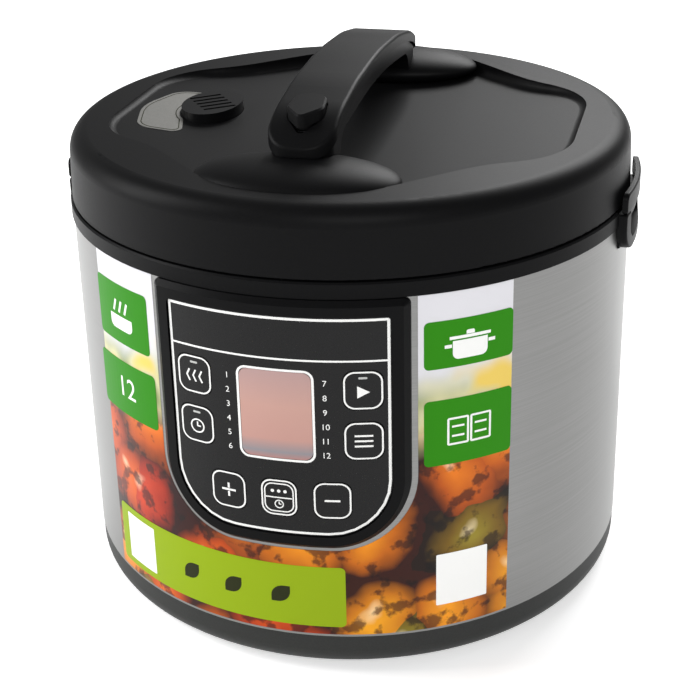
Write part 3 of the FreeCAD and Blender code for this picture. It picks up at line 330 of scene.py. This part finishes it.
def print_finish():
    """Printed film: plain white at the top that runs through a soft haze into fruit and vegetables."""
    made, tree, shader = material("printed_film", "#e0e0dd", rough=0.3, Specular_IOR_Level=0.2)
    uv = add(tree, PLACE).outputs["UV"]
    height = add(tree, SPLIT, {"Vector": uv}).outputs["Y"]
    soft = add(
        tree, NOISE, {"Vector": uv, "Scale": 1 / HAZE_SIZE, "Detail": 1.0}, noise_dimensions="2D",
    ).outputs[0]
    haze = add(tree, RAMP, {"Fac": soft}, stops=((0.32, "#7d8a52"), (0.5, "#c9c69a"), (0.66, "#e6c65e")))
    wave = add(tree, MATHS, {0: soft, 1: HAZE_WAVE}, operation="MULTIPLY").outputs[0]
    edge = add(tree, MATHS, {0: height, 1: wave}, operation="SUBTRACT").outputs[0]
    picture = vegetable_colours(tree, uv)
    for low, high, above in (
        (HAZE_FROM, HAZE_TO, haze.outputs["Color"]), (WHITE_FROM, WHITE_TO, colour("#dad9de")),
    ):
        share = add(
            tree, RANGE, {"Value": edge, "From Min": low, "From Max": high},
            interpolation_type="SMOOTHSTEP",
        ).outputs[0]
        picture = add(
            tree, MIX, {"Factor": share, COLOUR_A: picture, COLOUR_B: above}, data_type="RGBA",
        ).outputs[COLOUR_OUT]
    tree.links.new(picture, shader.inputs["Base Color"])
    return made


def ink(name, hex_code, rough=0.4):
    """Screen-printed ink: even colour with a faint unevenness of the print."""
    made, tree, shader = material(name, hex_code, Specular_IOR_Level=0.06)
    grain(tree, shader, size_mm=0.5, height_mm=0.004, rough=(rough - 0.04, rough + 0.06))
    return made


overlay_black = overlay_finish()
window_film = window_finish()
film_print = print_finish()
white_ink = ink("white_ink", "#f1f1ef")
lamp_ink = ink("lamp_grey", "#b9bab8", 0.3)
green_ink = ink("green_ink", "#2f8312", 0.3)
lime_ink = ink("lime_ink", "#8fa81a", 0.3)
dark_ink = ink("dark_ink", "#2c2f1a", 0.35)

FINISH = {
    lid_abs: ["lid_shell", "handle_cover", "release_button", "steam_vent_cap"],
    trim_abs: ["collar", "panel_bezel", "side_pocket_left", "side_pocket_right", "pot_ear_left",
               "pot_ear_right", "handle_core", "hinge_bracket", "mains_inlet"],
    base_abs: ["base_pan"],
    inner_nylon: ["lid_frame", "key_switches"],
    solder_mask: ["power_board", "control_board"],
    epoxy: ["board_components", "thermal_fuse", "display_module"],
    black_rubber: ["rubber_feet"],
    pale_silicone: ["lid_gasket", "inner_lid_knob", "vent_seal"],
    steel: ["outer_shell"],
    zinc: ["inner_liner", "catch_plate", "heating_element", "heater_posts", "sensor_sleeve", "latch"],
    cast: ["heating_plate"],
    satin: ["inner_lid", "sensor_cup"],
    plated: ["board_screws", "liner_screws", "pot_rivets", "panel_screws", "hinge_screws", "hinge_pin",
             "latch_pin", "lid_screws", "handle_screws", "sensor_spring", "lid_spring"],
    phosphated: ["button_spring"],
    brass: ["inlet_pins"],
    foil: ["lid_foil"],
    coating: ["cooking_pot"],
    overlay_black: ["panel_overlay", "key_delay", "key_keep_warm", "key_recipe", "key_time",
                    "key_minus", "key_start", "key_plus"],
    window_film: ["display_window"],
}
for finish, names in FINISH.items():
    for name in names:
        mesh = nodes[name].data
        mesh.materials.clear()
        mesh.materials.append(finish)


# Mesh helpers

def finished(bm, name, finish, body):
    """Turns a bmesh into a piece that rides on a body."""
    mesh = bpy.data.meshes.new(name)
    bm.to_mesh(mesh)
    bm.free()
    mesh.materials.append(finish)
    made = bpy.data.objects.new(name, mesh)
    bpy.context.scene.collection.objects.link(made)
    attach(made, body)
    return made


def rounded(bm, points, corners, segments=7):
    """Rounds corner points of a flat face. A radius of 0 leaves its corner sharp."""
    for point, corner in zip(points, corners):
        if corner:
            bmesh.ops.bevel(
                bm, geom=[point], offset=corner, offset_type="OFFSET", segments=segments, profile=0.5,
                affect="VERTICES", material=-1, clamp_overlap=False,
            )


def plate(bm, x, z, width, height, corners=(0, 0, 0, 0)):
    """A flat face towards -Y. Its corners are lower left, lower right, upper right, upper left."""
    before = set(bm.faces)
    half, tall = width / 2, height / 2
    spots = [(x - half, z - tall), (x + half, z - tall), (x + half, z + tall), (x - half, z + tall)]
    points = [bm.verts.new((px, 0, pz)) for px, pz in spots]
    bm.faces.new(points)
    rounded(bm, points, corners)
    return next(f for f in bm.faces if f not in before)


def outline(bm, x, z, width, height, corners, line):
    """A rounded line of even width."""
    face = plate(bm, x, z, width, height, corners)
    bmesh.ops.inset_region(bm, faces=[face], thickness=line, use_even_offset=True, use_boundary=True)
    bmesh.ops.delete(bm, geom=[face], context="FACES_ONLY")


def bar(bm, x, z, width, height, turn=0.0):
    """A straight stroke, turned about its middle."""
    face = plate(bm, x, z, width, height)
    spin = Matrix.Rotation(turn, 3, "Y")
    bmesh.ops.rotate(bm, verts=list(face.verts), cent=(x, 0, z), matrix=spin)


def dial(bm, x, z, radius, line):
    """A small clock ring with two hands."""
    outline(bm, x, z, radius * 2, radius * 2, (radius * 0.98,) * 4, line)
    bar(bm, x, z + radius * 0.28, width=line, height=radius * 0.62)
    bar(bm, x + radius * 0.22, z, width=radius * 0.5, height=line)


def numbers(bm, text, x, z, height):
    """Plain numbers set as flat faces towards -Y."""
    face = bpy.data.curves.new("numbers", "FONT")
    face.body = text
    face.size = height * FONT_PER_DIGIT
    face.align_x = "CENTER"
    face.align_y = "CENTER"
    holder = bpy.data.objects.new("numbers", face)
    bpy.context.scene.collection.objects.link(holder)
    bpy.context.view_layer.update()
    mesh = bpy.data.meshes.new_from_object(holder)
    bpy.data.objects.remove(holder)
    bpy.data.curves.remove(face)
    mesh.transform(Matrix.Translation((x, 0, z)) @ Matrix.Rotation(math.pi / 2, 4, "X"))
    bm.from_mesh(mesh)
    bpy.data.meshes.remove(mesh)


def wrapped(bm, radius, thick=INK, strip=STRIP):
    """Cuts a flat drawing into strips, bends it round the body and gives it a thickness outwards."""
    bmesh.ops.remove_doubles(bm, verts=bm.verts, dist=SAME_PLACE)
    reach = max(abs(v.co.x) for v in bm.verts)
    count = int(reach / strip)
    for index in range(-count, count + 1):
        bmesh.ops.bisect_plane(
            bm, geom=bm.verts[:] + bm.edges[:] + bm.faces[:], dist=ON_CUT,
            plane_co=(index * strip, 0, 0), plane_no=(1, 0, 0),
        )
    bmesh.ops.triangulate(bm, faces=bm.faces[:])
    for v in bm.verts:
        v.co.y = -math.sqrt((radius + INK / 2) ** 2 - v.co.x ** 2)
    bmesh.ops.solidify(bm, geom=bm.faces[:], thickness=-thick)
    bmesh.ops.recalc_face_normals(bm, faces=bm.faces[:])
    return bm


def centre(node):
    low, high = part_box(node)
    return (low.x + high.x) / 2, (low.z + high.z) / 2


def merged_copy(node):
    """A bmesh of a CAD node with its loose triangles joined."""
    bm = bmesh.new()
    bm.from_mesh(nodes[node].data)
    bmesh.ops.remove_doubles(bm, verts=bm.verts[:], dist=SAME_PLACE)
    return bm


# Printed film round the front

def film_piece():
    """The film: one sheet with a cut-out round the panel, where a strip of bare steel shows."""
    bm = bmesh.new()
    low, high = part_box("front_film")
    panel_low, panel_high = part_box("panel_bezel")
    edge = FILM_R * math.sin(FILM_HALF_ANGLE)
    side = panel_high.x + FILM_MARGIN
    floor = panel_low.z - FILM_MARGIN
    spots = [(-edge, low.z), (edge, low.z), (edge, high.z), (side, high.z),
             (side, floor), (-side, floor), (-side, high.z), (-edge, high.z)]
    points = [bm.verts.new((x, 0, z)) for x, z in spots]
    bm.faces.new(points)
    rounded(bm, points[4:6], (FILM_CORNER, FILM_CORNER), segments=16)
    wrapped(bm, FILM_SEAT_R, FILM_THICK, FILM_STRIP)
    uv = bm.loops.layers.uv.new("print")
    for face in bm.faces:
        for loop in face.loops:
            co = loop.vert.co
            loop[uv].uv = (math.atan2(co.x, -co.y) * SHELL_R, co.z)
    made = finished(bm, "printed_film", film_print, "cooker_body")
    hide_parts("front_film")


def shell_corners():
    """Sheet steel that rounds off the lower corners of the shell's window, beside the bezel."""
    wide, tall = 7.5 * MM, 8 * MM
    for name, side in (("left", -1), ("right", 1)):
        bm = bmesh.new()
        plate(bm, side * (WINDOW_EDGE - wide / 2), WINDOW_LOW + tall / 2, wide, tall)
        wrapped(bm, SHELL_R - SHEET - INK, SHEET)
        finished(bm, "shell_corner_" + name, steel, "cooker_body")


film_piece()
shell_corners()


# Tags on the film

def on_shell(bm, angle, radius):
    """Bends a flat drawing, then turns it round the body to its place."""
    wrapped(bm, radius)
    spin = Matrix.Rotation(math.radians(angle), 3, "Z")
    bmesh.ops.rotate(bm, verts=bm.verts[:], cent=(0, 0, 0), matrix=spin)
    return bm


def tag(name, angle, z, width, height, corner, finish, draw=None, mark_finish=None, lift=INK):
    """A printed tag on the film, bare or with a plain mark on it."""
    bm = bmesh.new()
    plate(bm, 0, z, width, height, (corner,) * 4)
    finished(on_shell(bm, angle, FILM_R + lift), name, finish, "cooker_body")
    if not draw:
        return
    bm = bmesh.new()
    draw(bm, z)
    on_shell(bm, angle, FILM_R + lift + INK)
    finished(bm, name + "_mark", mark_finish, "cooker_body")


def pot_mark(bm, z):
    """A plain cooking pot with two ears and a knob."""
    foot, cap = 3 * MM, 0.9 * MM
    plate(bm, 0, z - 3.4 * MM, width=17 * MM, height=9 * MM, corners=(foot, foot, 0, 0))
    bar(bm, 0, z + 2.6 * MM, width=20 * MM, height=1.5 * MM)
    plate(bm, 0, z + 4.6 * MM, width=4 * MM, height=2 * MM, corners=(0, 0, cap, cap))
    for side in (-1, 1):
        bar(bm, side * 10.6 * MM, z - 1.2 * MM, width=3.4 * MM, height=1.6 * MM)


def steam_mark(bm, z):
    """A low bowl with three slanted strokes of steam."""
    foot, pitch = 3.2 * MM, 4.6 * MM
    plate(bm, 0, z - 4.6 * MM, width=18 * MM, height=7 * MM, corners=(foot, foot, 0, 0))
    for index in (-1, 0, 1):
        bar(bm, index * pitch, z + 3.8 * MM, width=1.4 * MM, height=6.4 * MM, turn=0.35)


def book_mark(bm, z):
    """An open book in outline with two lines a page."""
    page, line = 5.6 * MM, 1 * MM
    for side in (-1, 1):
        outline(bm, side * page, z, width=10.6 * MM, height=14 * MM, corners=(line,) * 4, line=line)
        for row in (-1, 1):
            bar(bm, side * page, z + row * 2.4 * MM, width=6 * MM, height=line)


def number_mark(bm, z):
    """The count of programmes."""
    numbers(bm, "12", 0, z, 11 * MM)


def leaf_mark(bm, z):
    """A row of three plain leaves, set right of the tag's middle."""
    middle, pitch, leaf, side = 12 * MM, 24 * MM, 9 * MM, 6 * MM
    for index in (-1, 0, 1):
        plate(bm, middle + index * pitch, z, leaf, leaf, corners=(0, side, 0, side))


# Name, angle from the front in degrees, then height of the middle, width and height in mm, and mark
GREEN_TAGS = [
    ("tag_upper_left", -36.2, 167.6, 42, 30.6, steam_mark),
    ("tag_lower_left", -36.2, 128.4, 46, 28.6, number_mark),
    ("tag_upper_right", 35.6, 170.6, 43.5, 23.2, pot_mark),
    ("tag_lower_right", 35.6, 126.8, 43.5, 33.2, book_mark),
]
for name, angle, z, width, height, draw in GREEN_TAGS:
    tag(name, angle, z * MM, width * MM, height * MM, TAG_CORNER, green_ink, draw, white_ink)
tag("tag_lime", angle=-15.7, z=43 * MM, width=130 * MM, height=33 * MM, corner=TAG_CORNER,
    finish=lime_ink, draw=leaf_mark, mark_finish=dark_ink)
tag("tag_square_left", angle=-35.6, z=43 * MM, width=23 * MM, height=26 * MM, corner=SQUARE_CORNER,
    finish=white_ink, lift=2 * INK)
tag("tag_square_right", angle=34.4, z=48.5 * MM, width=26 * MM, height=28 * MM, corner=SQUARE_CORNER,
    finish=white_ink)


# Foil on the lid

def foil_border():
    """A thin dark line set in from the foil patch's edge."""
    inset, line, lift = 1.6 * MM, 0.5 * MM, 0.03 * MM
    bm = merged_copy("lid_foil")
    hidden = [f for f in bm.faces if f.normal.z < 0.5]
    bmesh.ops.delete(bm, geom=hidden, context="FACES")
    bmesh.ops.dissolve_limit(bm, angle_limit=0.02, verts=bm.verts[:], edges=bm.edges[:])
    for width, keep in ((inset, False), (line, True)):
        inner = bm.faces[:]
        rim = bmesh.ops.inset_region(
            bm, faces=inner, thickness=width, use_even_offset=True, use_boundary=True,
        )
        gone = inner if keep else rim["faces"]
        bmesh.ops.delete(bm, geom=gone, context="FACES")
    bmesh.ops.translate(bm, verts=bm.verts[:], vec=(0, 0, lift))
    bmesh.ops.solidify(bm, geom=bm.faces[:], thickness=-INK)
    bmesh.ops.recalc_face_normals(bm, faces=bm.faces[:])
    finished(bm, "foil_border", dark_ink, "lid")


foil_border()


# Springs

def live_spring(node, finish, body):
    """A copy of a spring with its loose triangles joined, riding on a body in place of the CAD node."""
    made = finished(merged_copy(node), node + "_live", finish, body)
    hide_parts(node)
    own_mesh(made)


live_spring("button_spring", phosphated, "lid")
live_spring("sensor_spring", plated, "cooker_body")


# Panel print

def panel_lines():
    """The white frame line, its cross line, the display's outline and the numbers beside it."""
    bm = bmesh.new()
    low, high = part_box("panel_overlay")
    width, height = high.x - low.x, high.z - low.z
    outline(
        bm, 0, (low.z + high.z) / 2, width - FRAME_LINE, height - FRAME_LINE, FRAME_CORNERS, FRAME_LINE,
    )
    bar(bm, 0, high.z - CROSS_LINE_DROP, width - CROSS_LINE_GAP, CROSS_LINE)
    low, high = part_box("display_window")
    x, z = centre("display_window")
    width, height = high.x - low.x, high.z - low.z
    outline(
        bm, x, z, width + DISPLAY_GAP, height + DISPLAY_GAP, (DISPLAY_CORNER,) * 4, DISPLAY_LINE,
    )
    for row in range(NUMBER_ROWS):
        z_row = high.z - NUMBER_DROP - NUMBER_PITCH * row
        numbers(bm, str(row + 1), low.x - NUMBER_GAP, z_row, NUMBER_HEIGHT)
        numbers(bm, str(row + 1 + NUMBER_ROWS), high.x + NUMBER_GAP, z_row, NUMBER_HEIGHT)
    finished(wrapped(bm, OVERLAY_R), "panel_print", white_ink, "cooker_body")


def key_print(node, draw, lamp=False):
    """A key's outline and its mark, riding on the key."""
    bm = bmesh.new()
    x, z = centre(node)
    outline(bm, x, z, KEY_WIDTH, KEY_HEIGHT, (KEY_CORNER,) * 4, KEY_LINE)
    draw(bm, x, z)
    finished(wrapped(bm, KEY_R), node + "_print", white_ink, node)
    if lamp:
        bm = bmesh.new()
        plate(bm, x, z + LAMP_RISE, LAMP_WIDTH, LAMP_HEIGHT, (LAMP_CORNER,) * 4)
        finished(wrapped(bm, KEY_R), node + "_lamp", lamp_ink, node)


def heat_waves(bm, x, z):
    """Three bent strokes of rising heat."""
    pitch, thick, length, lean = 3.2 * MM, 0.8 * MM, 3.4 * MM, 0.45
    for index in (-1, 0, 1):
        bar(bm, x + index * pitch, z + 0.8 * MM, thick, length, lean)
        bar(bm, x + index * pitch, z - 2.0 * MM, thick, length, -lean)


def clock(bm, x, z):
    """A clock under the key's lamp."""
    dial(bm, x, z - 1 * MM, radius=3.6 * MM, line=0.7 * MM)


def start_arrow(bm, x, z):
    """A full triangle that points right."""
    middle = z - 0.8 * MM
    face = plate(bm, x, middle, width=5 * MM, height=6 * MM)
    right = [v for v in face.verts if v.co.x > x]
    bmesh.ops.pointmerge(bm, verts=right, merge_co=(x + 2.9 * MM, 0, middle))


def menu_bars(bm, x, z):
    """Three level strokes."""
    pitch = 2.6 * MM
    for index in (-1, 0, 1):
        bar(bm, x, z + index * pitch, width=8 * MM, height=0.9 * MM)


def minus(bm, x, z):
    bar(bm, x, z, width=7 * MM, height=STROKE)


def plus(bm, x, z):
    """A level stroke with a short upright one above it and below it."""
    minus(bm, x, z)
    for side in (1, -1):
        bar(bm, x, z + side * 2.2 * MM, width=STROKE, height=2.6 * MM)


def split_mark(bm, x, z):
    """A second outline, cut across, with three dots above the line and a clock below it."""
    line, dot, pitch, rise = 0.6 * MM, 1.6 * MM, 3.0 * MM, 3.4 * MM
    outline(bm, x, z, width=14.0 * MM, height=15.0 * MM, corners=(4 * MM,) * 4, line=line)
    bar(bm, x, z, width=12.4 * MM, height=line)
    dial(bm, x, z - rise, radius=2.2 * MM, line=0.5 * MM)
    for index in (-1, 0, 1):
        plate(bm, x + index * pitch, z + rise, dot, dot, (0.7 * MM,) * 4)


panel_lines()
key_print("key_keep_warm", heat_waves, lamp=True)
key_print("key_delay", clock, lamp=True)
key_print("key_start", start_arrow, lamp=True)
key_print("key_recipe", menu_bars)
key_print("key_plus", plus)
key_print("key_time", split_mark)
key_print("key_minus", minus)


# Floor, light and camera

def stage_floor():
    """A pale floor that glows a little, so that the part's shadow stays soft."""
    bm = bmesh.new()
    bmesh.ops.create_grid(bm, x_segments=1, y_segments=1, size=FLOOR_HALF)
    mesh = bpy.data.meshes.new("floor")
    bm.to_mesh(mesh)
    bm.free()
    made = material(
        "pale_floor", "#fafafa", rough=0.7, Specular_IOR_Level=0.1,
        Emission_Color=colour("#ffffff"), Emission_Strength=FLOOR_GLOW,
    )[0]
    mesh.materials.append(made)
    floor = bpy.data.objects.new("floor", mesh)
    bpy.context.scene.collection.objects.link(floor)


def softbox(name, place, aim, size, power):
    """A rectangular light that faces a point."""
    lamp = bpy.data.lights.new(name, "AREA")
    lamp.shape = "RECTANGLE"
    lamp.size, lamp.size_y = size
    lamp.energy = power
    holder = bpy.data.objects.new(name, lamp)
    holder.location = place
    holder.rotation_euler = (Vector(aim) - Vector(place)).to_track_quat("-Z", "Y").to_euler()
    bpy.context.scene.collection.objects.link(holder)


def studio_glow():
    """Even white light from all round, shown without a film-like tone curve."""
    world = bpy.data.worlds.new("studio")
    world.use_nodes = True
    background = world.node_tree.nodes["Background"]
    background.inputs["Color"].default_value = colour("#ffffff")
    background.inputs["Strength"].default_value = STUDIO_GLOW
    bpy.context.scene.world = world
    bpy.context.scene.view_settings.view_transform = "Standard"


def photo_camera():
    """The photograph's viewpoint."""
    level = math.cos(CAMERA_RISE)
    back = Vector((math.sin(CAMERA_TURN) * level, -math.cos(CAMERA_TURN) * level, math.sin(CAMERA_RISE)))
    lens = bpy.data.cameras.new("photo_camera")
    lens.sensor_width = SENSOR_MM
    lens.lens = SENSOR_MM * FOCAL_PX / PHOTO_PX
    lens.shift_y = CAMERA_SHIFT
    lens.dof.use_dof = False
    lens.clip_start = CAMERA_NEAR
    camera = bpy.data.objects.new("photo_camera", lens)
    camera.location = CAMERA_AIM + back * CAMERA_DISTANCE
    turn = (-back).to_track_quat("-Z", "Y").to_matrix() @ Matrix.Rotation(CAMERA_ROLL, 3, "Z")
    camera.rotation_euler = turn.to_euler()
    bpy.context.scene.collection.objects.link(camera)
    bpy.context.scene.camera = camera


stage_floor()
softbox("left_light", place=(-1.5, -0.35, 0.9), aim=(0, 0, 0.12), size=(0.6, 1.2), power=22)
softbox("front_light", place=(0.5, -1.7, 1.2), aim=(0, 0, 0.1), size=(0.9, 0.7), power=13)
softbox("top_light", place=(0.3, 1.4, 1.15), aim=(0, 0, 0.2), size=(1.1, 0.7), power=25)
studio_glow()
photo_camera()
